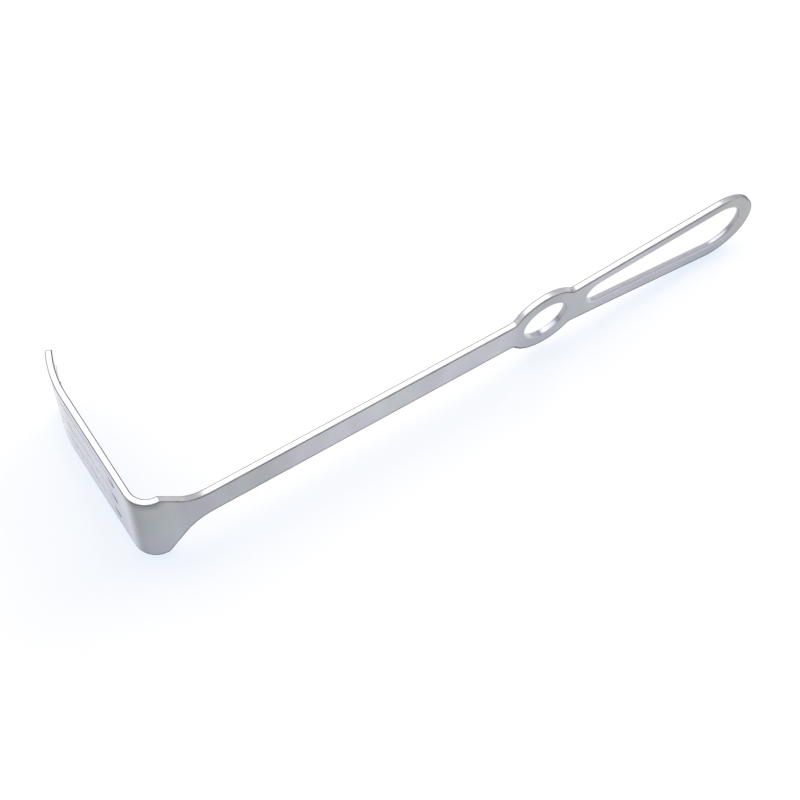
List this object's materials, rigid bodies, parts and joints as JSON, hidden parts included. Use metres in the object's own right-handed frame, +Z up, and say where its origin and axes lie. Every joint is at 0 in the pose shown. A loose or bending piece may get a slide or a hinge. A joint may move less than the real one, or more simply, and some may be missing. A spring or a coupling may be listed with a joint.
{
  "type": "rake retractor",
  "caption": "Hand-held surgical rake retractor in flat steel: bent head slotted into blunt curved prongs, straight shaft, finger ring and long loop grip.",
  "frame": {"origin": "Middle of the foot of the bounding box: the instrument lies on its long edge on z = 0, as in the picture.", "axes": "+X along the shaft towards the loop grip, +Y the side that the prongs stand on, square to the flat shaft, +Z up across the width of the head."},
  "size_m": [0.251, 0.0688, 0.0391],
  "materials": {
    "steel": "satin stainless steel, finely brushed along the handle, with brighter edges"
  },
  "bodies": {
    "root": {"head_bend": "steel", "blade_plate": "steel", "prong_1": "steel", "prong_2": "steel", "prong_3": "steel", "prong_4": "steel", "shoulder": "steel", "shaft": "steel", "finger_ring": "steel", "grip_loop": "steel"}
  },
  "joints": []
}
